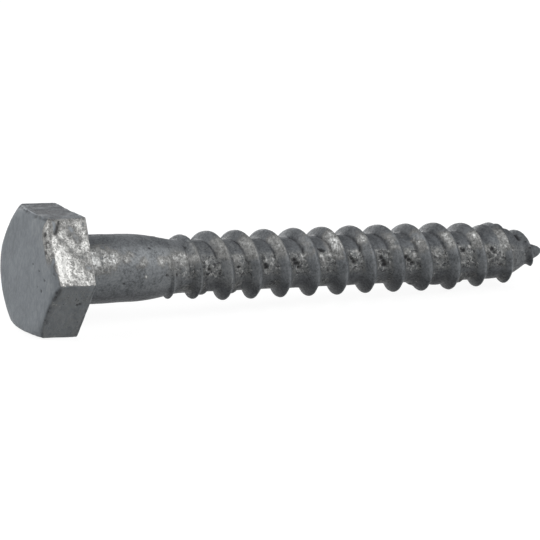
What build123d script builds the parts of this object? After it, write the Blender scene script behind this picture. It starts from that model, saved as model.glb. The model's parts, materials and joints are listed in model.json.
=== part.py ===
from build123d import *
import os
from math import atan2, cos, degrees, pi, radians, sin, tan

# Hex-head lag screw, 8 x 60, hot-dip galvanised: one solid, a forged head on a rolled wood thread.
# Millimetres. The screw is drawn with its axis along +X, the bearing face of its head in the plane
# x = 0, and two flats of the hexagon facing +Z and -Z. The last step tips it over to where it rests.

# Head
ACROSS_FLATS = 13.2        # a 13 mm spanner size, with its zinc
HEAD_HEIGHT = 4.8
CHAMFER_CIRCLE = 13.0      # where the chamfer meets the end face
CHAMFER_ANGLE = 30.0
CORNER_ROUND = 0.45
BEARING_EDGE_BREAK = 0.25
UNDERHEAD_FLARE = 0.40

# Shank, neck, core and point
SHANK_R = 3.76
SHANK_END = 8.8
CORE_START = 13.2          # the neck is the cone between these two
CORE_R = 2.99              # root of the thread, at its start; it narrows to 2.80 at the point
POINT_SHOULDER = [(53.4, 2.80), (54.9, 2.60), (56.2, 2.11)]
TIP = [(60.05, 0.29), (60.2, 0.11), (60.2, 0.0)]

# Thread: right-hand, one start
PITCH = 3.6
FLANK_ANGLE = 40.0         # between a flank and a plane square to the axis
CREST_ROUND = 0.38         # radius of the crest, drawn as two chords of its arc
ROOT_OVERLAP = 0.25        # how far the ridge is sunk into the core
SECTIONS_PER_TURN = 8
CREST_AT_PLUS_Y = 0.594    # in pitches from the bearing face
# Radius of the crest along the axis: run-in on the neck, full thread, then drawn in along the point
CREST_R = [(9.3, 3.25), (10.6, 3.40), (12.3, 3.50), (14.1, 3.58), (15.2, 3.70), (17.0, 3.84),
           (19.0, 3.87), (46.0, 3.87), (48.5, 3.82), (50.0, 3.74), (52.5, 3.60), (55.0, 3.33),
           (56.9, 2.69), (58.5, 1.70), (59.0, 1.25), (59.6, 0.35)]
RIDGE_STATIONS = [9.45, 40.5, 54.0, 59.4]  # the ridge is lofted in three lengths
CREST_SHRINKS_FROM = 50.0
CREST_IT_LIES_ON = PITCH * (14 + CREST_AT_PLUS_Y - 0.25)  # the last large one on the -Z side

BLANK = [(-2, 0), (-2, SHANK_R + UNDERHEAD_FLARE), (0, SHANK_R + UNDERHEAD_FLARE),
         (UNDERHEAD_FLARE, SHANK_R), (SHANK_END, SHANK_R), (CORE_START, CORE_R)]
BLANK += POINT_SHOULDER + TIP


def radius_at(stations, x):
    """Radius at x on a profile given as (x, radius) stations."""
    for (x0, r0), (x1, r1) in zip(stations, stations[1:]):
        if x0 <= x <= x1 and x1 > x0:
            return r0 + (r1 - r0) * (x - x0) / (x1 - x0)
    return stations[-1][1]


def ridge_section(x):
    """Outline of the ridge in the plane through the axis that its crest crosses at x."""
    crest = radius_at(CREST_R, x)
    shrink = 1 if x < CREST_SHRINKS_FROM else 1 - 0.5 * (x - CREST_SHRINKS_FROM) / 9
    depth = min(1.25, crest - radius_at(BLANK, x) + ROOT_OVERLAP, 0.85 * crest)
    depth = max(depth, 0.3 * min(1, crest))
    bevel = CREST_ROUND * shrink * cos(radians(FLANK_ANGLE))
    drop = CREST_ROUND * shrink * (1 - sin(radians(FLANK_ANGLE)))
    foot = bevel + (depth - drop) * tan(radians(FLANK_ANGLE))
    outline = Wire.make_polygon([(-depth, foot), (-drop, bevel), (0, 0), (-drop, -bevel),
                                 (-depth, -foot)], close=True)
    turn = 2 * pi * (x / PITCH - CREST_AT_PLUS_Y)
    radial = Vector(0, cos(turn), sin(turn))
    plane = Plane(origin=Vector(x, 0, 0) + radial * crest, x_dir=radial,
                  z_dir=(0, -sin(turn), cos(turn)))
    return outline.moved(plane.location)


def ridge(start, end):
    """One length of the thread's ridge, lofted through its sections."""
    step = PITCH / SECTIONS_PER_TURN
    first, last = round(start / step), round(end / step)
    return Solid.make_loft([ridge_section(i * step) for i in range(first, last + 1)])


def hex_head():
    """Hexagon with rounded corners and a chamfered end face, standing on the bearing face."""
    hexagon = RegularPolygon(ACROSS_FLATS / 2, 6, major_radius=False)
    prism = extrude(Plane.YZ * hexagon, -HEAD_HEIGHT)
    prism = fillet(prism.edges().filter_by(Axis.X), CORNER_ROUND)
    prism = chamfer(prism.faces().sort_by(Axis.X)[-1].edges(), BEARING_EDGE_BREAK)
    circle, outside = CHAMFER_CIRCLE / 2, ACROSS_FLATS
    drop = (outside - circle) * tan(radians(CHAMFER_ANGLE))
    envelope = Polyline((0, 0), (-HEAD_HEIGHT, 0), (-HEAD_HEIGHT, circle),
                        (-HEAD_HEIGHT + drop, outside), (0, outside), (0, 0))
    return prism & revolve(make_face(envelope), Axis.X)


def resting_tilt():
    """Angle of the axis to the ground, in degrees, lying on a head edge and that crest."""
    rise = ACROSS_FLATS / 2 - radius_at(CREST_R, CREST_IT_LIES_ON)
    return degrees(atan2(rise, CREST_IT_LIES_ON + BEARING_EDGE_BREAK))


blank = revolve(make_face(Polyline(*BLANK, close=True)), Axis.X)
threaded = blank.fuse(*(ridge(a, b) for a, b in zip(RIDGE_STATIONS, RIDGE_STATIONS[1:])))
lag_screw = (threaded + hex_head()).rotate(Axis.Y, resting_tilt())

os.makedirs("parts", exist_ok=True)
export_step(lag_screw, "parts/lag_screw.step")
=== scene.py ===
import json
from math import radians, tan

import bpy
import numpy as np
from mathutils import Matrix, Vector


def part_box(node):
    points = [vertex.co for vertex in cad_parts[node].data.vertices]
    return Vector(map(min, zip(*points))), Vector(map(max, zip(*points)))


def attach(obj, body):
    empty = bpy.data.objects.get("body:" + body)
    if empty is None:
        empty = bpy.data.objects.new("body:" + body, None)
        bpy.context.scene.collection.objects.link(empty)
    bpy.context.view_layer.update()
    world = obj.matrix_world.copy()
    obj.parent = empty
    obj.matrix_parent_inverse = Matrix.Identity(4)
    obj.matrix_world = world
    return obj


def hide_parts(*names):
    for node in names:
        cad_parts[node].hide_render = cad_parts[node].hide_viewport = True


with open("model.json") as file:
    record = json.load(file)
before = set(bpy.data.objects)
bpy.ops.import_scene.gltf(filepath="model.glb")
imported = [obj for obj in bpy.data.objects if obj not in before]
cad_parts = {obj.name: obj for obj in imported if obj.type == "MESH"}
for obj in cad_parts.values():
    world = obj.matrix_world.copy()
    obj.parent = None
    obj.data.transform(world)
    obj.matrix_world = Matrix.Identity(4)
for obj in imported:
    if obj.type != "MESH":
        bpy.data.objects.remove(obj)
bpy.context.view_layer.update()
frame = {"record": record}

# Hex-head lag screw, 8 x 60, hot-dip galvanised, lying on its head's edge and a thread crest.
# Shapes are worked out in millimetres along the screw's own axis, x, which leaves the bearing
# face at 0 and ends at the point; the last step lays the screw down where its mounts say.
# Turns in the lists are in degrees round the axis: 0 is the back, 90 the top, 180 the front and
# 270 the underside.
MM = 0.001

# Head
ACROSS_FLATS = 13.2
FLATS_AT = 30 + 60 * np.arange(6)
TOP_FLAT, UPPER_FRONT_FLAT, LOWER_FRONT_FLAT = 90, 150, 210
TOP_SIDE_STANDS_OUT = 0.10
HEAD_HEIGHT = 4.92         # with the zinc that has run onto the end face
CHAMFER_CIRCLE = 13.0
CHAMFER_ANGLE = radians(30)
CORNER_ROUND = 0.45
UNDERHEAD_FLARE = 0.40
SHANK_RADIUS = 3.76
POINT_END = 60.2
# How sharp the zinc leaves each edge of the head; a higher number is a tighter curve
SHARP_CORNERS = 25.0       # between the flats
SHARP_CHAMFER = 9.0        # between the end face and its chamfer
SHARP_BRIM = 13.0          # between the flats and the end
SHARP_BEARING_EDGE = 22.0  # between the flats and the bearing face
SHARP_MEETING = 60.0       # between those two

# Shank, neck, core and point: (distance from the bearing face, radius)
BLANK = [(0.0, 3.80), (4.0, 3.80), (6.0, 3.76), (8.0, 3.72), (9.2, 3.63), (10.4, 3.45),
         (11.2, 3.31), (12.2, 3.12), (13.4, 2.93), (17.0, 2.86), (30.0, 2.86), (35.0, 2.88),
         (40.0, 2.85), (53.2, 2.80), (54.2, 2.71), (55.2, 2.50), (56.3, 2.12), (57.4, 1.56),
         (58.4, 1.04), (59.1, 0.80), (59.6, 0.62), (59.9, 0.48), (60.05, 0.34), (60.2, 0.0)]
# How far the axis of the blank wanders up or down, as rolling left it
WANDER = [(0.0, 0.0), (7.0, 0.0), (11.0, -0.09), (18.0, -0.11), (28.0, -0.08), (36.0, 0.0),
          (56.0, 0.0), (57.5, 0.08), (58.5, 0.13), (60.2, 0.25)]

# Thread: right-hand, one start
PITCH = 3.6
CREST_AT_PLUS_Y = 0.594    # in pitches from the bearing face
FLANK_ANGLE = radians(40)
CREST_ROUND = 0.38
ROOT_FILLET = 0.22
CREST = [(8.6, 3.0), (9.3, 3.30), (10.6, 3.46), (12.3, 3.52), (14.1, 3.56), (15.3, 3.62),
         (16.6, 3.90), (19.0, 3.88), (46.0, 3.87), (48.5, 3.84), (49.9, 3.78), (51.5, 3.60),
         (53.2, 3.66), (54.2, 3.55), (55.2, 3.30), (56.9, 2.69), (58.5, 1.70), (59.0, 1.25),
         (59.6, 0.50), (60.2, 0.0)]
# Steepness of the flank facing the head, against the other: less than 1 is steeper
HEAD_SIDE_FLANK = [(0.0, 0.74), (24.0, 0.74), (26.5, 0.94), (60.2, 0.94)]
# How far the crest runs ahead of its even pitch; the run-in isn't quite regular
CREST_AHEAD = [(0.0, 0.36), (12.2, 0.36), (13.9, 0.30), (15.4, -0.20), (17.3, -0.07),
               (19.1, 0.0), (20.9, -0.10), (24.5, 0.0), (60.2, 0.0)]
RIDGE_REACH = (8.8, 10.2, 59.2, 59.9)  # starts, full from, full until, gone
RUN_IN_FULLNESS = 0.45     # thickness of the ridge on the neck, against the full thread
RIDGE_FILLS_OUT = (12.5, 13.5)
RIDGE_SHRINKS_FROM, RIDGE_SHRINKS_OVER, RIDGE_SHRINKS_BY = 50, 9, 0.5
# Zinc that has run together in the roots: (distance along, turn, spread along, spread round, depth)
POOLS = [(43.2, 256, 0.50, 30, 0.34), (43.8, 256, 0.40, 28, 0.36), (46.1, 256, 0.95, 34, 0.44),
         (48.9, 256, 0.45, 30, 0.28), (16.35, 256, 0.40, 30, 0.34), (20.05, 256, 0.42, 30, 0.32),
         (52.45, 76, 0.95, 75, 0.63), (53.9, 76, 0.75, 60, 0.78), (55.2, 76, 0.85, 45, 0.50)]

# Marks on the upper front facet of the head, drawn bright as spangle and as a painted highlight
# of the front softbox: (distance along, height above the axis, reach, how much brighter or duller)
FACET_MARKS = [
    (-4.0, 2.2, 1.2, 0.70), (-3.6, 1.1, 0.9, 0.55), (-4.3, 4.4, 0.5, 0.48),
    (-4.3, 3.2, 0.6, 0.36), (-2.1, 4.1, 0.45, 0.45), (-3.2, 5.1, 0.4, 0.38),
    (-3.0, 6.2, 0.4, 0.30), (-0.9, 5.9, 0.45, 0.30), (-0.7, 5.0, 0.35, 0.48),
    (-0.5, 4.2, 0.4, 0.46), (-0.8, 3.8, 0.35, 0.35), (-1.9, 0.9, 0.7, 0.12),
    (-1.1, 0.3, 0.2, 0.80), (-2.0, 2.3, 0.3, 0.22), (-1.7, 4.5, 0.9, -0.42),
    (-2.1, 5.7, 0.5, -0.26), (-3.3, 4.5, 0.35, -0.35), (-2.4, 3.4, 0.45, -0.32),
    (-2.3, 2.5, 0.35, -0.25), (-0.5, 1.8, 0.4, -0.3), (-3.5, 1.1, 0.15, -0.6),
    (-4.1, 6.0, 0.75, -0.55), (-0.5, 6.0, 0.25, -0.5), (-1.5, 6.0, 0.6, -0.10),
    (-1.4, 2.4, 0.8, -0.18)]
# Bright marks on the shank and thread, partly spangle and partly painted highlight where the front
# softbox's highlight falls: (distance along, turn, reach, how much brighter)
BODY_MARKS = [
    (1.5, 148, 0.7, 0.25), (2.9, 156, 0.7, 0.35), (3.7, 148, 0.6, 0.30), (5.6, 150, 0.45, 0.35),
    (6.1, 147, 0.45, 0.40), (7.1, 163, 0.5, 0.35), (7.7, 157, 0.5, 0.38), (7.9, 183, 0.14, 1.2),
    (9.7, 156, 0.5, 0.40), (11.0, 160, 0.9, 0.30), (12.2, 147, 1.0, 0.29), (13.0, 139, 0.45, 0.42),
    (13.0, 158, 0.8, 0.28), (14.3, 152, 0.6, 0.32), (19.6, 151, 0.6, 0.30), (19.8, 178, 0.16, 0.6),
    (23.5, 185, 0.18, 0.6), (24.4, 112, 0.5, 0.22), (26.0, 164, 0.2, 0.5), (27.8, 154, 0.25, 0.7),
    (30.1, 154, 0.35, 0.42), (30.3, 163, 0.35, 0.36), (30.4, 172, 0.35, 0.30),
    (31.2, 152, 0.3, 0.42), (31.5, 108, 0.6, 0.30), (31.6, 126, 0.7, 0.46), (31.9, 142, 0.7, 0.46),
    (32.1, 157, 0.5, 0.35), (34.7, 148, 0.3, 0.35), (35.4, 127, 0.45, 0.45),
    (38.9, 122, 0.5, 0.08), (39.1, 138, 0.4, 0.08), (40.8, 155, 0.35, 0.5), (41.2, 109, 0.2, 0.5),
    (42.0, 161, 0.4, 0.45), (42.2, 114, 0.35, 0.34), (42.2, 126, 0.35, 0.36),
    (42.5, 138, 0.3, 0.36), (44.7, 155, 0.4, 0.35), (46.0, 124, 0.45, 0.28),
    (46.3, 138, 0.3, 0.34), (47.9, 146, 0.35, 0.5), (48.4, 165, 0.3, 0.55), (49.3, 146, 0.2, 0.8),
    (49.7, 126, 0.4, 0.48), (51.5, 152, 0.5, 0.55), (53.6, 133, 0.7, 0.12), (53.6, 150, 0.5, 0.26)]
# Dark pits of the head: (x, y, z, radius)
HEAD_PITS = [
    (-4.9, -4.0, 4.95, 0.32), (-4.5, -7.1, -0.8, 0.28), (-4.9, -4.8, 0.1, 0.17),
    (-4.9, -4.2, -1.2, 0.20), (-4.9, -3.2, -0.9, 0.15), (-4.9, -1.7, 1.2, 0.13),
    (-4.8, -6.6, 1.2, 0.16), (-4.9, -3.4, 0.8, 0.13), (-4.9, -4.6, 3.1, 0.25),
    (-1.5, -6.2, -2.4, 0.22), (-1.2, -6.3, -2.3, 0.20), (-4.7, -5.2, -4.3, 0.2)]
# Dark pits of the shank and thread: (distance along, turn, radius)
BODY_PITS = [
    (3.0, 148, 0.15), (5.3, 194, 0.15), (8.7, 131, 0.18), (10.6, 183, 0.2), (11.9, 184, 0.22),
    (13.6, 121, 0.2), (16.1, 176, 0.28), (15.9, 188, 0.18), (19.7, 174, 0.22), (23.1, 170, 0.32),
    (23.2, 177, 0.28), (22.8, 184, 0.2), (26.7, 162, 0.32), (26.9, 170, 0.42), (27.2, 179, 0.3),
    (30.3, 141, 0.32), (30.0, 138, 0.2), (30.6, 143, 0.2), (34.0, 164, 0.28), (34.2, 171, 0.34),
    (38.0, 172, 0.32), (38.2, 180, 0.48), (37.7, 164, 0.25), (40.9, 165, 0.40), (41.3, 172, 0.38),
    (41.7, 179, 0.3), (44.1, 138, 0.18), (48.2, 150, 0.22), (48.4, 154, 0.34), (47.8, 135, 0.2),
    (52.0, 155, 0.34), (52.3, 162, 0.22), (52.8, 66, 0.3), (54.6, 99, 0.2), (56.25, 100, 0.46),
    (56.25, 106, 0.48), (56.3, 112, 0.48), (56.35, 118, 0.42), (57.1, 131, 0.2), (57.5, 150, 0.2)]
# Edges of the head drawn darker: from (x, y, z) to (x, y, z)
EDGE_LINES = [((-4.5, -3.7, 6.6), (-0.4, -3.85, 6.55)), ((-4.8, -1.2, 6.4), (-4.5, -3.3, 6.5)),
              ((-4.5, 3.4, 6.5), (-4.8, 0.4, 6.45)), ((-4.6, -6.4, 2.0), (-4.5, -7.0, 0.8)),
              ((-4.25, -7.3, -0.5), (-4.55, -6.6, -1.8)), ((-4.6, -6.1, -2.7), (-4.5, -4.9, -4.7))]
# Paler patches of the end face: (x, y, z, radius)
PALE_PATCHES = [(-4.9, -1.8, 5.7, 1.6), (-4.9, -3.2, 4.0, 1.1), (-4.8, -5.9, -0.5, 1.1),
                (-4.9, -4.4, 1.6, 1.1)]
# Rough strip along the upper front edge of the end face, and the ring-shaped mark in it
STRIP_FROM_AXIS, STRIP_HALF_WIDTH = 6.05, (0.30, 0.95)
STRIP_Z, STRIP_LEFT, STRIP_RIGHT = (1.2, 3.2), -6.0, -3.4
RING_MIDDLE, RING_RADIUS, RING_LINE = (-4.9, -4.85, 4.05), 0.27, 0.11
# A nick across the bright facet, from top to bottom: (x, y, z)
NICK = [(-3.25, -3.90, 6.35), (-3.90, -4.60, 5.20)]
NICK_HALF_WIDTH, EDGE_LINE_HALF_WIDTH = 0.24, 0.32
# Dark line of painted shade in the corner between root and ridge: (turn, distance from the crest)
DARK_CORNER = [(88, -1.08), (115, -0.90), (140, -0.88), (160, -0.98)]
# A seam that rolling left at the run-in: (turn, distance along)
SEAM = [(112, 13.45), (150, 13.5), (190, 13.8)]
DARK_CORNER_HALF_WIDTH, SEAM_HALF_WIDTH = 0.13, 0.12
# The bright patch of the shank next to the head, partly spangle and partly painted highlight, and
# the painted shade in the last root: (middle, reach)
SHANK_PATCH, SHANK_PATCH_TURN, LAST_ROOT = (2.4, 2.1), (150, 23), (57.6, 0.35)

# Where the zones lie along the screw
END_FACE_LAST = -4.1       # the end face and its chamfer lie before this
HEAD_SIDES_FIRST = -4.3    # the sides of the head lie past this
HEAD_ENDS = -0.1           # the head's zones lie before this
BODY_STARTS = 0.2          # those of the shank and thread lie past this
ROOTS_START, ROOTS_END = 13, 57.5
ROOT_RADII = (2.95, 3.3)   # a root turns into a flank between these
DENTS_END = (55.2, 55.6)   # pits are sunk before this and only dark past it
# Bands of the zinc's zones: (starts, full from, full until, gone).
# Along the screw:
THREADED = (13.0, 15.5, 55.0, 56.5)
# reach along the screw of the painted shade on the flank that faces the point
FLANK_SHADE_REACH = (11.0, 12.5, 55.0, 56.5)
RUN_IN = (10.0, 11.5, 14.2, 15.5)
EARLY_THREAD = (11.0, 13.0, 20.0, 25.0)
SHANK_AND_NECK = (0.2, 0.6, 12.0, 15.0)
# From the crest, less than 0 on the head's side:
HEADWARD_FLANK = (-0.95, -0.7, -0.1, 0.5)
POINTWARD_FLANK = (0.25, 0.55, 1.0, 1.3)
# Round the screw, as turns:
BRIGHT_FLANK_TURNS = (92, 118, 146, 170)
FRONT_ROOT_TURNS = (136, 150, 188, 205)
RUN_IN_TURNS = (122, 142, 180, 200)
EARLY_TURNS = (100, 125, 200, 225)
SEAM_TURNS = (108, 118, 184, 194)
DARK_CORNER_TURNS = (80, 92, 140, 165)
UPPER_ROOT_TURNS = (60, 84, 122, 145)
# turns of the painted shade on the flank that faces the point
FLANK_SHADE_TURNS = (148, 162, 215, 235)
UNDERSIDE_TURNS = (198, 224, 262, 285)
OVER_TOP_TURNS = (50, 70, 108, 130)
LAST_ROOT_TURNS = (110, 140, 200, 225)
LOW_FRONT_TURNS = (168, 178, 198, 212)
FRONT_TURNS = (118, 140, 196, 225)

# Mesh density, and how far one degree of turn goes round the screw
HEAD_SIDE_POINTS, HEAD_CORNER_POINTS = 44, 8
ROUND_HEAD = 6 * (HEAD_SIDE_POINTS + HEAD_CORNER_POINTS)
ROUND_BODY = ROUND_HEAD // 2
FLARE_RINGS = 4
BODY_RING_GAP, POINT_RING_GAP = 0.15, 0.12
BODY_RINGS_END, POINT_RINGS_START, POINT_RINGS_END = 57.4, 57.45, 59.3
TIP_RINGS = (59.32, 59.42, 59.52, 59.62, 59.72, 59.82, 59.91, 59.99, 60.06, 60.12, 60.165)
DEGREE_MM = 0.06

# Finishes; the colours are linear
HEAD_ZINC = {"dark": (0.218, 0.237, 0.255), "light": (0.296, 0.320, 0.343),
             "paler": (0.33, 0.35, 0.365), "bright": (0.74, 0.74, 0.72),
             "cloud_size": 2.4, "grain_size": 0.3, "streak": (1, 1, 0.45), "fleck_amount": 0.05}
THREAD_ZINC = {"dark": (0.073, 0.080, 0.087), "light": (0.203, 0.214, 0.226),
               "paler": (0.322, 0.340, 0.354), "bright": (0.70, 0.71, 0.70),
               "cloud_size": 1.6, "grain_size": 0.26, "streak": (1, 1, 1), "fleck_amount": 0.18}
CRUST_TONE = (0.250, 0.253, 0.245)
SPANGLE_SHADOW, SPANGLE_GREY = (0.10, 0.10, 0.098), (0.24, 0.24, 0.235)
# the colour of the pits, also used for the painted shade
PIT_AND_SHADE_TONE, SPECK_TONE = (0.028, 0.028, 0.03), (0.035, 0.035, 0.037)
FLECK_SIZE = 0.46
FLOOR_TONE, FLOOR_GLOW = (0.14, 0.14, 0.14), 0.90
ROOM_LIGHT = 0.13

# Lamps: how far off, in screw lengths
LAMP_DISTANCE = 9
# Camera: millimetres and degrees
LENS = 354.9
CAMERA_AIM, CAMERA_DISTANCE = (25.217, 0.157, -2.331), 590.9
CAMERA_AZIMUTH, CAMERA_ELEVATION, CAMERA_ROLL = 28.2227, 13.9477, 1.6731


# ---- measuring helpers ----

def along(stations, x):
    """Value at x on a smooth curve through (x, value) stations."""
    steps, reach = 1201, 9
    xs, values = np.array(stations).T
    fine = np.linspace(xs[0], xs[-1], steps)
    padded = np.pad(np.interp(fine, xs, values), reach, mode="edge")
    window = np.ones(2 * reach + 1) / (2 * reach + 1)
    smooth = np.convolve(padded, window, "same")[reach:-reach]
    return np.interp(x, fine, smooth)


def lumps(points, size, seed):
    """Smooth random height between -1 and 1 at each point; lumps are about size across."""
    cells, all_positive = 32, 100.0
    lattice = np.random.default_rng(seed).uniform(-1, 1, (cells, cells, cells))
    place = points / size + all_positive
    cell = np.floor(place).astype(int)
    part = place - cell
    part = part * part * (3 - 2 * part)
    total = np.zeros(len(points))
    for corner in np.ndindex(2, 2, 2):
        weight = np.ones(len(points))
        for axis in range(3):
            weight *= part[:, axis] if corner[axis] else 1 - part[:, axis]
        at = (cell + corner) % cells
        total += weight * lattice[at[:, 0], at[:, 1], at[:, 2]]
    return total


def crusty(points, size, seed):
    """Lumps with finer lumps on them, in three layers, between about -1 and 1."""
    return sum(lumps(points, size / 2 ** n, seed + n) / 2 ** n for n in range(3)) / 1.6


def ease(value, low, high):
    """0 below low, 1 above high, a soft step between them."""
    part = np.clip((value - low) / (high - low), 0, 1)
    return part * part * (3 - 2 * part)


def band(value, starts, full_from, full_until, gone):
    """1 inside a band and 0 outside it, with soft sides."""
    return ease(value, starts, full_from) * (1 - ease(value, full_until, gone))


def hump(value, middle, reach):
    """1 at the middle, falling off smoothly on both sides."""
    return np.exp(-((value - middle) / reach) ** 2)


def blunt_max(a, b, reach):
    """The larger of two heights, with a fillet where they meet."""
    return np.maximum(a, b) + np.maximum(reach - np.abs(a - b), 0) ** 2 / (4 * reach)


def soft_max(values, sharpness):
    """Largest of several distances, rounded where they are near each other."""
    top = np.max(values, axis=0)
    return top + np.log(sum(np.exp(sharpness * (v - top)) for v in values)) / sharpness


def outward(bearing):
    """Direction square to the axis at a turn."""
    return np.array([0, np.cos(radians(bearing)), np.sin(radians(bearing))])


def off_flats(y, z):
    """How far each point stands outside each of the hexagon's six flats."""
    return [y * np.cos(a) + z * np.sin(a) - ACROSS_FLATS / 2 for a in np.radians(FLATS_AT)]


# ---- head ----

def head_outline():
    """Points round the hexagon with its corners rounded, closer together round the corners."""
    apothem = ACROSS_FLATS / 2
    half_flat = (apothem - CORNER_ROUND) * tan(radians(30))
    points = []
    for normal in np.radians(FLATS_AT):
        across = np.array([np.cos(normal), np.sin(normal)])
        tangent = np.array([-across[1], across[0]])
        for step in range(HEAD_SIDE_POINTS):
            share = 2 * step / HEAD_SIDE_POINTS - 1
            points.append(across * apothem + tangent * half_flat * share)
        pivot = across * (apothem - CORNER_ROUND) + tangent * half_flat
        for step in range(HEAD_CORNER_POINTS):
            turn = normal + radians(60) * step / HEAD_CORNER_POINTS
            points.append(pivot + CORNER_ROUND * np.array([np.cos(turn), np.sin(turn)]))
    # start halfway round a corner, so that every halving keeps the six corners alike
    return np.roll(np.array(points), HEAD_CORNER_POINTS // 2, axis=0)


def start_turn():
    """Angle round the axis of the first point of every ring, in radians."""
    first = head_outline()[0]
    return float(np.arctan2(first[1], first[0]))


def end_face_x(radius):
    """Where the end face or its chamfer lies at a radius."""
    return -HEAD_HEIGHT + np.maximum(radius - CHAMFER_CIRCLE / 2, 0) * tan(CHAMFER_ANGLE)


def outside_head(place):
    """How far each point stands outside the head's skin, with every edge rounded."""
    x, y, z = place.T
    sides = off_flats(y, z)
    sides[1] = sides[1] - TOP_SIDE_STANDS_OUT
    flats = soft_max(sides, SHARP_CORNERS)
    cone = ((np.hypot(y, z) - CHAMFER_CIRCLE / 2) * np.sin(CHAMFER_ANGLE)
            - (x + HEAD_HEIGHT) * np.cos(CHAMFER_ANGLE))
    end = soft_max([-x - HEAD_HEIGHT, cone], SHARP_CHAMFER)
    return soft_max([soft_max([flats, end], SHARP_BRIM), soft_max([flats, x], SHARP_BEARING_EDGE)],
                    SHARP_MEETING)


def head_skin(points):
    """Moves points along rays from the middle of the head onto its skin, by halving."""
    nearest, farthest, halvings = 0.6, 1.1, 26
    middle = np.array([-HEAD_HEIGHT / 2, 0, 0])
    ray = points - middle
    inside, beyond = np.full(len(points), nearest), np.full(len(points), farthest)
    for _ in range(halvings):
        half = (inside + beyond) / 2
        past = outside_head(middle + ray * half[:, None]) > 0
        beyond = np.where(past, half, beyond)
        inside = np.where(past, inside, half)
    return middle + ray * ((inside + beyond) / 2)[:, None]


def head_rings():
    """Rings of points from the middle of the end face, over its edge and in to the flare."""
    outline = head_outline()
    brim = end_face_x(np.hypot(*outline.T))
    turn = start_turn() + 2 * np.pi * np.arange(ROUND_HEAD) / ROUND_HEAD
    flare_edge = (SHANK_RADIUS + UNDERHEAD_FLARE) * np.column_stack([np.cos(turn), np.sin(turn)])
    # shares of the way: out over the end face, down the sides, and in over the bearing face
    coarse = {8: (0.03, 0.06, 0.09, 0.12), 4: (0.16, 0.19, 0.22, 0.25),
              2: (0.29, 0.32, 0.35, 0.38, 0.41, 0.44, 0.47, 0.50)}
    out = np.concatenate([np.arange(0.52, 0.90, 0.022), np.arange(0.905, 0.999, 0.0125)])
    down = np.concatenate([np.arange(0.0, 0.12, 0.02), np.arange(0.13, 0.92, 0.032),
                           np.arange(0.93, 0.999, 0.02)])
    back_in = (0.0, 0.04, 0.08, 0.13, 0.2, 0.28, 0.36, 0.45, 0.54, 0.63, 0.72, 0.80, 0.87, 0.94)
    rings = []

    def ring(y_z, x):
        flat = np.column_stack([np.broadcast_to(x, len(y_z)), y_z])
        rings.append(head_skin(flat))

    for keep, shares in coarse.items():
        for share in shares:
            y_z = outline[::keep] * share
            ring(y_z, end_face_x(np.hypot(*y_z.T)))
    for share in out:
        y_z = outline * share
        ring(y_z, end_face_x(np.hypot(*y_z.T)))
    for share in down:
        ring(outline, brim * (1 - share))
    for share in back_in:
        ring(outline * (1 - share) + flare_edge * share, 0.0)
    return rings


# ---- shank, thread and point ----

def from_crest(x, turn):
    """Distance along the axis from the nearest crest, less than 0 on the head's side of it;
    turn is in radians."""
    ahead = along(CREST_AHEAD, x)
    pitches = (x - ahead) / PITCH - CREST_AT_PLUS_Y - turn / (2 * np.pi)
    return ((pitches + 0.5) % 1.0 - 0.5) * PITCH


def body_radius(x, turn):
    """Radius of shank, thread and point at x along the axis and a turn in radians."""
    blank = along(BLANK, x)
    for at, bearing, spread, spread_round, depth in POOLS:
        round_by = (turn - radians(bearing) + np.pi) % (2 * np.pi) - np.pi
        blank = blank + depth * np.exp(-((x - at) / spread) ** 4
                                       - (round_by / radians(spread_round)) ** 2)
    signed = from_crest(x, turn)
    across = np.abs(signed)
    fullness = RUN_IN_FULLNESS + (1 - RUN_IN_FULLNESS) * ease(x, *RIDGE_FILLS_OUT)
    shrink = 1 - RIDGE_SHRINKS_BY * np.clip((x - RIDGE_SHRINKS_FROM) / RIDGE_SHRINKS_OVER, 0, 1)
    rounding = CREST_ROUND * shrink * fullness
    bevel = rounding * np.cos(FLANK_ANGLE)
    arc = (along(CREST, x) - rounding
           + np.sqrt(np.maximum(rounding ** 2 - np.minimum(across, bevel) ** 2, 0)))
    slope = tan(FLANK_ANGLE) * fullness * np.where(signed < 0, along(HEAD_SIDE_FLANK, x), 1.0)
    ridge = arc - np.maximum(across - bevel, 0) / slope
    radius = blunt_max(blank, ridge, ROOT_FILLET * fullness)
    return blank + (radius - blank) * band(x, *RIDGE_REACH)


def body_rings():
    """Rings of points from the flare under the head to the point."""
    turn = start_turn() + 2 * np.pi * np.arange(ROUND_BODY) / ROUND_BODY
    around = np.column_stack([np.zeros_like(turn), np.cos(turn), np.sin(turn)])
    rings = []
    for swing in np.linspace(0, np.pi / 2, FLARE_RINGS + 1)[:-1]:
        x = UNDERHEAD_FLARE * (1 - np.cos(swing))
        radius = SHANK_RADIUS + UNDERHEAD_FLARE * (1 - np.sin(swing))
        rings.append(around * radius + [x, 0, 0])
    stretches = ((np.arange(UNDERHEAD_FLARE, BODY_RINGS_END, BODY_RING_GAP), 1),
                 (np.arange(POINT_RINGS_START, POINT_RINGS_END, POINT_RING_GAP), 2), (TIP_RINGS, 4))
    for places, keep in stretches:
        for x in places:
            radius = body_radius(np.full_like(turn[::keep], x), turn[::keep])
            rings.append(around[::keep] * radius[:, None] + [x, 0, 0])
    return [ring + [0, 0, along(WANDER, ring[0, 0])] for ring in rings]


# ---- mesh ----

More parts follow.
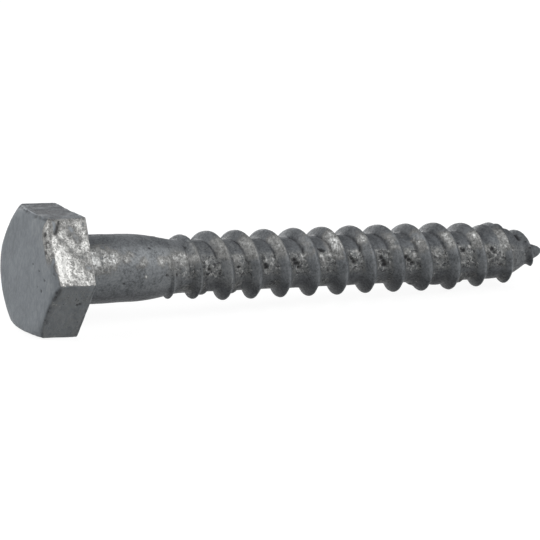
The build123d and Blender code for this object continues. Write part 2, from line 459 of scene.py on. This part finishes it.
def join_rings(a, n, b, m):
    """Faces between a ring of n points from number a and one of m points from b, where m is n,
    its double or its half."""
    if n == m:
        return [(a + i, a + (i + 1) % n, b + (i + 1) % n, b + i) for i in range(n)]
    faces = []
    if m == 2 * n:
        for i in range(n):
            j = (i + 1) % n
            faces += [(a + i, b + 2 * i + 1, b + 2 * i), (a + i, a + j, b + 2 * i + 1),
                      (a + j, b + (2 * i + 2) % m, b + 2 * i + 1)]
    else:
        for i in range(m):
            j = (i + 1) % m
            faces += [(b + i, a + 2 * i, a + 2 * i + 1), (b + i, a + 2 * i + 1, b + j),
                      (b + j, a + 2 * i + 1, a + (2 * i + 2) % n)]
    return faces


def close_skin(rings, first_tip, last_tip):
    """Points and faces of one closed skin through the rings, with a tip at each end."""
    points = np.vstack([first_tip] + rings + [last_tip])
    starts = np.cumsum([1] + [len(ring) for ring in rings])
    n = len(rings[0])
    faces = [(0, starts[0] + (i + 1) % n, starts[0] + i) for i in range(n)]
    for number, (ring, following) in enumerate(zip(rings, rings[1:])):
        faces += join_rings(starts[number], len(ring), starts[number + 1], len(following))
    last, a, n = len(points) - 1, starts[len(rings) - 1], len(rings[-1])
    faces += [(last, a + i, a + (i + 1) % n) for i in range(n)]
    return points, faces


def screw_mesh():
    """The screw's bare skin, and how many of its faces belong to the head."""
    head, body = head_rings(), body_rings()
    end_middle, tip = [-HEAD_HEIGHT, 0, 0], [POINT_END - 0.01, 0, WANDER[-1][1]]
    points, faces = close_skin(head + body, [end_middle], [tip])
    head_points = 1 + sum(len(ring) for ring in head)
    mesh = bpy.data.meshes.new("lag_screw_galvanised")
    mesh.from_pydata((points * MM).tolist(), [], faces)
    mesh.update()
    return mesh, sum(max(face) < head_points for face in faces)


# ---- where the zinc is bright, crusted, dark or pale ----

def near(points, spots):
    """How deep each point lies inside spots given as (x, y, z, radius): 1 at their middles."""
    depth = np.zeros(len(points))
    for x, y, z, radius in spots:
        away = np.linalg.norm(points - [x, y, z], axis=1) / radius
        depth = np.maximum(depth, 1 - ease(away, 0.35, 1.15))
    return depth


def marks(a, b, spots):
    """Sum of soft spots (place in a, place in b, reach, strength) on a flat or unrolled surface."""
    return sum(strength * np.exp(-((a - at) ** 2 + (b - across) ** 2) / reach ** 2)
               for at, across, reach, strength in spots)


def beside(points, start, end, half_width):
    """1 on the line from start to end, 0 past half_width from it."""
    start, end = np.array(start), np.array(end)
    run = np.clip((points - start) @ (end - start) / np.sum((end - start) ** 2), 0, 1)
    away = np.linalg.norm(points - start - run[:, None] * (end - start), axis=1)
    return 1 - ease(away / half_width, 0.3, 1.1)


class Skin:
    """Where each point of the skin lies on the screw, and the areas that several zones share."""

    def __init__(self, points, normals):
        self.points, self.normals = points, normals
        self.x, self.y, self.z = points.T
        self.turn = np.degrees(np.arctan2(self.z, self.y)) % 360
        self.round_mm = self.turn * DEGREE_MM
        self.patchy = crusty(points, size=1.5, seed=41)
        self.finer = crusty(points, size=0.5, seed=43)
        self.across = from_crest(self.x, np.radians(self.turn))
        self.threaded = band(self.x, *THREADED)
        self.lit_flank = self.threaded * band(self.across, *HEADWARD_FLANK)
        self.root = ((self.x > ROOTS_START) * (self.x < ROOTS_END)
                     * (1 - ease(np.hypot(self.y, self.z), *ROOT_RADII)))
        self.lower_facet = (self.x < HEAD_ENDS) * ease(self.facing(LOWER_FRONT_FLAT), 0.85, 0.95)
        self.strip = self.rough_strip()

    def facing(self, bearing):
        """How squarely the skin faces a turn, 1 at the most."""
        return self.normals @ outward(bearing)

    def rough_strip(self):
        """The rough strip along the upper front edge of the end face."""
        off_line = np.abs(self.points @ outward(UPPER_FRONT_FLAT) - STRIP_FROM_AXIS)
        height = ease(self.z + 0.4 * self.patchy, *STRIP_Z)
        return ((self.x < END_FACE_LAST) * (1 - ease(off_line, *STRIP_HALF_WIDTH)) * height
                * (self.y < STRIP_RIGHT) * (self.y > STRIP_LEFT))


def bright_zinc(skin):
    """Where the zinc is drawn bright: spangle, and on the upper front facet and the front of the
    shank and thread also a painted highlight.
    """
    x, turn, patchy, finer = skin.x, skin.turn, skin.patchy, skin.finer
    # the upper front facet of the head, with a ragged border: spangle and painted highlight
    ragged = 0.35 * finer
    facet = (ease(skin.facing(UPPER_FRONT_FLAT), 0.80, 0.93) * ease(skin.z + ragged, -0.15, 0.20)
             * ease(4.75 + x + ragged, 0.1, 0.4))
    mottle = 0.52 + 0.22 * patchy + 0.30 * finer + marks(x, skin.z, FACET_MARKS)
    on_head = facet * (x < 0) * np.clip(mottle, 0.10, 1.7)
    # a patch of the shank next to the head, and smaller ones along the same side: spangle and
    # painted highlight
    patch = hump(x, *SHANK_PATCH) * hump(turn, *SHANK_PATCH_TURN)
    spots = [(at, bearing * DEGREE_MM, reach, strength)
             for at, bearing, reach, strength in BODY_MARKS]
    on_body = (x > BODY_STARTS) * (0.60 * patch * (1 + 1.7 * finer)
                                   + marks(x, skin.round_mm, spots) * (1 + 1.1 * finer))
    # the flank that faces the head, lighter and rougher than the root before it
    some = ease(lumps(skin.points, size=4.0, seed=61), -0.8, 0.9)
    on_flank = (skin.lit_flank * band(turn, *BRIGHT_FLANK_TURNS)
                * (0.12 + 0.32 * some + 0.25 * finer))
    # scattered areas of the back and the underside
    away_from_front = (1 - ease(turn, 20, 50)) + ease(turn, 262, 285)
    scattered = ease(crusty(skin.points, size=4.5, seed=71), 0.10, 0.55) * (x > HEAD_SIDES_FIRST)
    on_back = away_from_front * scattered * np.clip(0.35 + 0.3 * patchy + 0.4 * finer, 0, 1)
    return np.maximum.reduce([on_head, on_body + on_flank, on_back,
                              skin.strip * (0.54 + 0.55 * finer)])


def crusted_zinc(skin):
    """Where the zinc is rough and speckled: the roots, the run-in and parts of the head."""
    x, turn, patchy, finer = skin.x, skin.turn, skin.patchy, skin.finer
    elsewhere = (1 - ease(turn, 60, 90)) + ease(turn, 190, 215)
    scattered = elsewhere * ease(crusty(skin.points, size=2.2, seed=57), -0.2, 0.4)
    roots = skin.root * np.clip(band(turn, *FRONT_ROOT_TURNS) + scattered, 0, 1)
    roots = roots * (1 - 0.6 * ease(x, 54.8, 56.0))
    run_in = band(x, *RUN_IN) * band(turn, *RUN_IN_TURNS) * np.clip(0.65 + 0.5 * patchy, 0, 1)
    early = (band(x, *EARLY_THREAD) * band(turn, *EARLY_TURNS)
             * np.clip(0.30 + 0.5 * patchy + 0.3 * finer, 0, 0.75))
    lower_facet = skin.lower_facet * np.clip(0.45 + 0.5 * patchy, 0, 0.9)
    return np.maximum.reduce([roots, run_in, early, lower_facet, skin.strip])


def dark_on_head(skin):
    """Pits, nick and ring of the head, its darker top and lower facets and edges, and painted shade
    along the bearing edge.
    """
    x, patchy, finer = skin.x, skin.patchy, skin.finer
    from_middle = np.linalg.norm(skin.points - RING_MIDDLE, axis=1)
    top_facet = (x < HEAD_ENDS) * ease(skin.facing(TOP_FLAT), 0.90, 0.97)
    # painted shade: the head's sides darkened in patches next to the bearing face, where the head
    # meets the shank
    bearing_edge = ease(x, -0.5, -0.15) * (x < -0.02) * ease(finer + patchy, -0.2, 0.5)
    off_edge = np.hypot(np.max(off_flats(skin.y, skin.z), axis=0),
                        x - end_face_x(np.hypot(skin.y, skin.z)))
    end_edge = (x < -0.5) * (1 - ease(off_edge, 0.08, 0.30)) * ease(finer + patchy, -0.5, 0.7)
    lines = [beside(skin.points, start, end, EDGE_LINE_HALF_WIDTH) for start, end in EDGE_LINES]
    return np.maximum.reduce([
        0.75 * near(skin.points, HEAD_PITS),
        0.9 * beside(skin.points, *NICK, NICK_HALF_WIDTH),
        0.55 * hump(from_middle, RING_RADIUS, RING_LINE),
        top_facet * (0.43 + 0.28 * ease(patchy + 0.4 * finer, -0.3, 0.5)),
        0.20 * skin.lower_facet * ease(-patchy, 0.0, 0.5),
        0.35 * bearing_edge,
        0.30 * end_edge,
        0.52 * np.max(lines, axis=0) * ease(finer, -0.7, 0.2)])


def dark_on_body(skin):
    """Pits and seam of the shank and thread, a darker upper part of the roots, and painted shade:
    in the corner between root and ridge, on the flank that faces the point, on the underside, over
    the top and in the last root.
    """
    x, turn, across = skin.x, skin.turn, skin.across
    pits = np.zeros(len(x))
    for at, bearing, size in BODY_PITS:
        away = np.hypot(x - at, skin.round_mm - bearing * DEGREE_MM) / size
        ragged = away * (1 + 0.35 * skin.finer)
        pits = np.maximum(pits, (x > BODY_STARTS) * (1 - ease(ragged, 0.45, 1.10)))
    seam_at = np.interp(turn, *zip(*SEAM))
    seam = hump(x, seam_at, SEAM_HALF_WIDTH) * band(turn, *SEAM_TURNS)
    # painted shade: a dark line in the corner between root and ridge
    corner_at = np.interp(turn, *zip(*DARK_CORNER))
    corner = (hump(across, corner_at, DARK_CORNER_HALF_WIDTH) * skin.threaded
              * (1 - ease(x, 49, 51)) * band(turn, *DARK_CORNER_TURNS))
    # painted shade on the flank that faces the point, at the front and lower front
    far_flank = (band(x, *FLANK_SHADE_REACH) * band(across, *POINTWARD_FLANK)
                 * band(turn, *FLANK_SHADE_TURNS))
    # painted shade: the underside of the threaded part drawn darker
    underside = ease(x, 12.0, 15.0) * band(turn, *UNDERSIDE_TURNS)
    # painted shade over the top of the thread, deeper towards the point
    over_top = skin.threaded * band(turn, *OVER_TOP_TURNS)
    # painted shade in the last root before the point
    last_root = hump(x, *LAST_ROOT) * band(turn, *LAST_ROOT_TURNS)
    return np.maximum.reduce([
        pits,
        0.55 * seam,
        0.95 * corner * (0.75 + 0.5 * skin.patchy),
        0.12 * skin.root * band(turn, *UPPER_ROOT_TURNS),
        0.28 * far_flank,
        0.30 * underside,
        (0.16 + 0.16 * ease(x, 29, 33)) * over_top,
        0.20 * last_root])


def pale_zinc(skin):
    """Where smooth zinc is paler: the shank, the tops of the ridge and parts of the head."""
    turn = skin.turn
    shank = band(skin.x, *SHANK_AND_NECK) * (0.15 + 0.85 * band(turn, *FRONT_TURNS))
    ridge_top = (skin.lit_flank * (0.6 * ease(turn, 50, 75) + 0.4 * ease(turn, 108, 128))
                 * (1 - ease(turn, 150, 185)))
    low_side = (skin.threaded * (1 - ease(np.abs(skin.across + 0.35), 0.75, 1.0))
                * band(turn, *LOW_FRONT_TURNS))
    patches = near(skin.points, PALE_PATCHES) * np.clip(0.7 + 0.7 * skin.finer, 0, 1)
    on_head = patches + 0.7 * skin.lower_facet
    return np.clip(shank + 0.8 * ridge_top + 0.5 * low_side + on_head, 0, 1)


def zinc_lumps(mesh):
    """Marks the zinc's zones on the skin and gives it the unevenness of hot-dip zinc."""
    count = len(mesh.vertices)
    points, normals = np.empty(count * 3), np.empty(count * 3)
    mesh.vertices.foreach_get("co", points)
    mesh.vertices.foreach_get("normal", normals)
    points, normals = points.reshape(-1, 3) / MM, normals.reshape(-1, 3)
    skin = Skin(points, normals)
    spangle_and_painted_highlight, crust, pale = bright_zinc(skin), crusted_zinc(skin), pale_zinc(skin)
    # dark pits and the painted shade, in one layer
    pits_and_painted_shade = np.maximum(dark_on_head(skin), dark_on_body(skin))
    for name, values in (("spangle_and_painted_highlight", spangle_and_painted_highlight), ("crust", crust), ("pits_and_painted_shade", pits_and_painted_shade), ("pale", pale)):
        layer = mesh.attributes.new(name, "FLOAT", "POINT")
        layer.data.foreach_set("value", values.astype(np.float32))
    x = points[:, 0]
    swell = 0.035 * lumps(points, size=3.1, seed=11)
    grain = 0.018 * crusty(points, size=0.9, seed=23)
    rough_share = np.clip(spangle_and_painted_highlight, 0, 1) + 0.8 * np.clip(crust, 0, 1)
    rough = 0.08 * rough_share * crusty(points, size=0.55, seed=31)
    dents = 0.16 * pits_and_painted_shade * (1 - ease(x, *DENTS_END))
    edge_share = (x < HEAD_ENDS) * ease(x, -1.2, -0.4)
    bearing_edge = 0.10 * edge_share * crusty(points, size=0.8, seed=47)
    rise = swell + grain + rough - dents + bearing_edge
    points = points + normals * rise[:, None]
    mesh.vertices.foreach_set("co", (points * MM).ravel())
    mesh.update()


def lay_down(mesh):
    """Turns and moves the screw from its own axis to where its mounts say it lies."""
    thread = next(m for m in frame["record"]["mounts"] if m["name"] == "wood_thread")
    forward = Vector(thread["axis"]).normalized()
    sideways = Vector((0, 0, 1)).cross(forward).normalized()
    upward = forward.cross(sideways)
    turned = Matrix((forward, sideways, upward)).transposed().to_4x4()
    mesh.transform(Matrix.Translation(thread["pos_m"]) @ turned)
    mesh.update()


# ---- materials ----

def plain_material(name, color, roughness):
    """A new material whose shader's plain values are set on its own sockets."""
    material = bpy.data.materials.new(name)
    material.use_nodes = True
    shader = material.node_tree.nodes["Principled BSDF"]
    shader.inputs["Base Color"].default_value = (*color, 1)
    shader.inputs["Roughness"].default_value = roughness
    return material


class Bench:
    """Places and wires nodes in one tree."""

    def __init__(self, tree):
        self.tree = tree

    def feed(self, socket, value):
        """Links another socket, or sets a plain value."""
        if isinstance(value, bpy.types.NodeSocket):
            self.tree.links.new(value, socket)
        else:
            socket.default_value = value

    def place(self, kind, settings=None, **inputs):
        """A new node; inputs are named as its sockets are, with _ for a space."""
        node = self.tree.nodes.new(kind)
        for name, value in (settings or {}).items():
            setattr(node, name, value)
        for name, value in inputs.items():
            self.feed(node.inputs[name.replace("_", " ")], value)
        return node

    def reckon(self, operation, a, b, clamp=False):
        """Sum, product or the like of two values."""
        node = self.place("ShaderNodeMath", {"operation": operation, "use_clamp": clamp})
        self.feed(node.inputs[0], a)
        self.feed(node.inputs[1], b)
        return node.outputs[0]

    def per_axis(self, operation, vector, by):
        """A place multiplied by, or moved by, a number for each axis."""
        node = self.place("ShaderNodeVectorMath", {"operation": operation})
        self.feed(node.inputs[0], vector)
        node.inputs[1].default_value = by
        return node.outputs[0]

    def scaled(self, vector, factor):
        """A place times one factor."""
        node = self.place("ShaderNodeVectorMath", {"operation": "SCALE"}, Scale=factor)
        self.feed(node.inputs[0], vector)
        return node.outputs[0]

    def measured_in(self, vector, size):
        """A place in units of size."""
        return self.scaled(vector, self.reckon("DIVIDE", 1.0, size))

    def noise(self, vector, detail, roughness, distortion=0.0, scale=1.0):
        """Smooth random value at a place."""
        return self.place("ShaderNodeTexNoise", Vector=vector, Scale=scale, Detail=detail,
                          Roughness=roughness, Distortion=distortion).outputs["Fac"]

    def blend(self, share, a, b):
        """Mix of two colours."""
        node = self.place("ShaderNodeMix", {"data_type": "RGBA"})
        self.feed(node.inputs["Factor"], share)
        self.feed(node.inputs[6], a)
        self.feed(node.inputs[7], b)
        return node.outputs[2]

    def level(self, share, a, b):
        """Mix of two plain values."""
        node = self.place("ShaderNodeMix", {"data_type": "FLOAT"})
        self.feed(node.inputs["Factor"], share)
        self.feed(node.inputs[2], a)
        self.feed(node.inputs[3], b)
        return node.outputs[0]

    def step(self, value, low, high):
        """0 below low, 1 above high, soft between."""
        node = self.place("ShaderNodeMapRange", {"interpolation_type": "SMOOTHSTEP"},
                          Value=value, From_Min=low, From_Max=high)
        return node.outputs["Result"]


VECTOR, NUMBER = "NodeSocketVector", "NodeSocketFloat"


def node_group(name, inputs, outputs, wiring):
    """A node group with named sockets; wiring(bench, sockets) returns the outputs' values."""
    group = bpy.data.node_groups.new(name, "ShaderNodeTree")
    for label, (kind, value) in inputs.items():
        socket = group.interface.new_socket(name=label, in_out="INPUT", socket_type=kind)
        if value is not None:
            socket.default_value = value
    for label in outputs:
        group.interface.new_socket(name=label, in_out="OUTPUT", socket_type=NUMBER)
    bench = Bench(group)
    given = group.nodes.new("NodeGroupInput").outputs
    made = group.nodes.new("NodeGroupOutput")
    for label, value in wiring(bench, given).items():
        bench.feed(made.inputs[label], value)
    return group


def zinc_clouds():
    """Soft light and dark areas of a zinc skin, and the fine grain on them."""
    def wiring(bench, given):
        cloud = bench.noise(bench.measured_in(given["Place"], given["Cloud Size"]),
                            detail=4.0, roughness=0.62, distortion=0.4)
        grain = bench.noise(bench.measured_in(given["Place"], given["Grain Size"]),
                            detail=3.0, roughness=0.7)
        return {"Cloud": bench.step(cloud, 0.30, 0.70), "Grain": bench.step(grain, 0.35, 0.65)}
    inputs = {"Place": (VECTOR, None), "Cloud Size": (NUMBER, 2.0), "Grain Size": (NUMBER, 0.25)}
    return node_group("zinc clouds", inputs, ["Cloud", "Grain"], wiring)


def zinc_flecks():
    """Scattered small bright flecks and dark pits; more Amount gives more of both."""
    def wiring(bench, given):
        place = bench.measured_in(given["Place"], given["Fleck Size"])
        elsewhere = bench.per_axis("ADD", place, (31.0, 17.0, 9.0))
        flecks = bench.noise(place, detail=2.5, roughness=0.6, distortion=0.9)
        pits = bench.noise(elsewhere, detail=2.0, roughness=0.6, distortion=0.6)
        edge = bench.reckon("SUBTRACT", 0.78, bench.reckon("MULTIPLY", given["Amount"], 0.40))
        return {"Flecks": bench.step(flecks, edge, bench.reckon("ADD", edge, 0.10)),
                "Pits": bench.step(pits, edge, bench.reckon("ADD", edge, 0.08))}
    inputs = {"Place": (VECTOR, None), "Fleck Size": (NUMBER, 0.4), "Amount": (NUMBER, 0.3)}
    return node_group("zinc flecks", inputs, ["Flecks", "Pits"], wiring)


def zinc_relief():
    """Height of the cast zinc surface: low swells with a fine bite."""
    def wiring(bench, given):
        fine = bench.measured_in(given["Place"], given["Grain Size"])
        bite = bench.noise(fine, detail=5.0, roughness=0.65)
        bite = bench.reckon("MULTIPLY", bite, given["Bite"])
        swell = bench.noise(bench.scaled(fine, 0.22), detail=2.0, roughness=0.5)
        return {"Height": bench.reckon("ADD", bite, swell)}
    inputs = {"Place": (VECTOR, None), "Grain Size": (NUMBER, 0.22), "Bite": (NUMBER, 0.5)}
    return node_group("zinc relief", inputs, ["Height"], wiring)


def zinc_material(name, groups, dark, light, paler, bright, cloud_size, grain_size, streak,
                  fleck_amount):
    """Galvanised skin: dull clouded zinc, bright spangle with painted highlight, and dark pits with
    painted shade, where the mesh says.
    """
    clouds, flecks, relief = groups
    material = plain_material(name, light, 0.5)
    bench = Bench(material.node_tree)
    shader = material.node_tree.nodes["Principled BSDF"]
    place = bench.scaled(bench.place("ShaderNodeTexCoord").outputs["Object"], 1 / MM)

    def zone(label):
        return bench.place("ShaderNodeAttribute", {"attribute_name": label}).outputs["Fac"]

    crust, spangle_and_painted_highlight, pits_and_painted_shade, pale = zone("crust"), zone("spangle_and_painted_highlight"), zone("pits_and_painted_shade"), zone("pale")
    streaked = bench.per_axis("MULTIPLY", place, streak)
    cloud = bench.place("ShaderNodeGroup", {"node_tree": clouds}, Place=streaked,
                        Cloud_Size=cloud_size, Grain_Size=grain_size).outputs
    amount = bench.reckon("ADD", bench.reckon("MULTIPLY", crust, 0.42), fleck_amount)
    speck = bench.place("ShaderNodeGroup", {"node_tree": flecks}, Place=place,
                        Fleck_Size=FLECK_SIZE, Amount=amount).outputs
    shade = bench.reckon("ADD", bench.reckon("MULTIPLY", cloud["Cloud"], 0.5),
                         bench.reckon("MULTIPLY", cloud["Grain"], 0.5))

    # dull zinc, from dark to light, with its paler and crusted zones and its specks
    skin = bench.blend(shade, (*dark, 1), (*light, 1))
    skin = bench.blend(bench.reckon("MULTIPLY", pale, bench.level(shade, 0.15, 1.0)), skin,
                       (*paler, 1))
    skin = bench.blend(bench.reckon("MULTIPLY", crust, bench.level(cloud["Grain"], 0.1, 1.0)), skin,
                       (*CRUST_TONE, 1))
    skin = bench.blend(bench.reckon("MULTIPLY", speck["Flecks"], 0.85), skin,
                       (*[0.78 * c for c in bright], 1))
    skin = bench.blend(bench.reckon("MULTIPLY", speck["Pits"], 0.7), skin, (*SPECK_TONE, 1))

    # bright spangle and painted highlight, broken up by veins, and the pits and painted shade on
    # top of it all
    vein = bench.noise(place, detail=4.0, roughness=0.75, distortion=0.5, scale=4.2)
    mottle = bench.level(bench.step(vein, 0.32, 0.68), 0.30, 1.60)
    spangle = bench.step(bench.reckon("MULTIPLY", spangle_and_painted_highlight, mottle), 0.0, 1.15)
    between = bench.blend(shade, (*SPANGLE_SHADOW, 1), (*SPANGLE_GREY, 1))
    skin = bench.blend(bench.step(spangle_and_painted_highlight, 0.05, 0.30), skin, between)
    skin = bench.blend(spangle, skin, (*bright, 1))
    # pits and painted shade darken the skin here
    skin = bench.blend(pits_and_painted_shade, skin, (*PIT_AND_SHADE_TONE, 1))
    bench.feed(shader.inputs["Base Color"], skin)
    bench.feed(shader.inputs["Metallic"], bench.level(spangle, 0.15, 0.35))
    dull = bench.level(cloud["Grain"], 0.58, 0.46)
    bench.feed(shader.inputs["Roughness"], bench.level(spangle, dull, 0.40))
    shader.inputs["Specular IOR Level"].default_value = 0.18

    # fine relief, twice as high where the zinc is bright or crusted
    height = bench.place("ShaderNodeGroup", {"node_tree": relief}, Place=place, Grain_Size=0.24,
                         Bite=0.55).outputs["Height"]
    rougher = bench.level(bench.reckon("MAXIMUM", spangle_and_painted_highlight, crust, clamp=True), 1.0, 2.0)
    bump = bench.place("ShaderNodeBump", Strength=0.9, Distance=0.05 * MM,
                       Height=bench.reckon("MULTIPLY", height, rougher))
    bench.feed(shader.inputs["Normal"], bump.outputs["Normal"])
    return material


# ---- the screw ----

mesh, head_faces = screw_mesh()
zinc_lumps(mesh)
lay_down(mesh)
groups = zinc_clouds(), zinc_flecks(), zinc_relief()
mesh.materials.append(zinc_material("zinc_on_head", groups, **HEAD_ZINC))
mesh.materials.append(zinc_material("zinc_on_thread", groups, **THREAD_ZINC))
for face in mesh.polygons:
    face.use_smooth = True
    face.material_index = 0 if face.index < head_faces else 1
screw = bpy.data.objects.new("lag_screw_galvanised", mesh)
bpy.context.scene.collection.objects.link(screw)
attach(screw, "root")
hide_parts("lag_screw")


# ---- floor, lamps, camera ----

box_low, box_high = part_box("lag_screw")
box_middle = (Vector(box_low) + Vector(box_high)) / 2
length = box_high[0] - box_low[0]


def lay_floor():
    """A large round floor that the screw lies on, white to the eye, with the screw's shadow."""
    corners, radius = 96, 40 * length
    turns = np.linspace(0, 2 * np.pi, corners, endpoint=False)
    rim = np.column_stack([np.cos(turns), np.sin(turns)]) * radius
    mesh = bpy.data.meshes.new("floor")
    mesh.from_pydata([(box_middle.x + x, box_middle.y + y, box_low[2]) for x, y in rim], [],
                     [tuple(range(corners))])
    material = plain_material("pale_floor", FLOOR_TONE, 0.9)
    bench = Bench(material.node_tree)
    rays = bench.place("ShaderNodeLightPath").outputs
    seen = bench.reckon("MAXIMUM", rays["Is Camera Ray"], rays["Is Glossy Ray"])
    seen = bench.reckon("MAXIMUM", seen, rays["Is Transmission Ray"])
    shader = material.node_tree.nodes["Principled BSDF"]
    shader.inputs["Emission Color"].default_value = (1, 1, 1, 1)
    bench.feed(shader.inputs["Emission Strength"], bench.reckon("MULTIPLY", seen, FLOOR_GLOW))
    mesh.materials.append(material)
    floor = bpy.data.objects.new("floor", mesh)
    bpy.context.scene.collection.objects.link(floor)


def softbox(name, bearing, height, size, level):
    """A soft lamp facing the screw. Bearing 0 is at its front and 90 at its point, in degrees;
    size is in screw lengths; a level of 1 lights a white card that faces it to plain white."""
    lamp = bpy.data.lights.new(name, "AREA")
    lamp.shape = "RECTANGLE"
    lamp.size, lamp.size_y = size[0] * length, size[1] * length
    distance = LAMP_DISTANCE * length
    lamp.energy = level * (np.pi * distance) ** 2
    turn, rise = radians(bearing), radians(height)
    towards = Vector((np.sin(turn) * np.cos(rise), -np.cos(turn) * np.cos(rise), np.sin(rise)))
    holder = bpy.data.objects.new(name, lamp)
    holder.location = box_middle + towards * distance
    holder.rotation_mode = "QUATERNION"
    holder.rotation_quaternion = (-towards).to_track_quat("-Z", "Y")
    bpy.context.scene.collection.objects.link(holder)


def light_room():
    """Faint even light from all round."""
    world = bpy.data.worlds.new("studio")
    bpy.context.scene.world = world
    world.use_nodes = True
    background = world.node_tree.nodes["Background"]
    background.inputs["Color"].default_value = (1, 1, 1, 1)
    background.inputs["Strength"].default_value = ROOM_LIGHT


def set_camera():
    """A long lens in front of the screw, on the head's side and a little above it."""
    camera = bpy.data.cameras.new("camera")
    camera.lens = LENS
    camera.clip_start, camera.clip_end = 0.05, 20
    holder = bpy.data.objects.new("camera", camera)
    bpy.context.scene.collection.objects.link(holder)
    azimuth, elevation, roll = (radians(a) for a in (CAMERA_AZIMUTH, CAMERA_ELEVATION, CAMERA_ROLL))
    look = Vector((np.sin(azimuth) * np.cos(elevation), np.cos(azimuth) * np.cos(elevation),
                   -np.sin(elevation)))
    level_right = look.cross(Vector((0, 0, 1))).normalized()
    level_up = level_right.cross(look)
    right = level_right * np.cos(roll) + level_up * np.sin(roll)
    turned = Matrix((right, right.cross(look), -look)).transposed().to_4x4()
    place = Vector(CAMERA_AIM) * MM - look * CAMERA_DISTANCE * MM
    holder.matrix_world = Matrix.Translation(place) @ turned
    bpy.context.scene.camera = holder
    bpy.context.scene.view_settings.view_transform = "Standard"


lay_floor()
softbox("front_softbox", 45, 34, (4, 5), 0.62)
softbox("head_softbox", 270, 40, (5, 5), 0.60)
softbox("back_softbox", 175, 18, (5, 4), 0.37)
light_room()
set_camera()
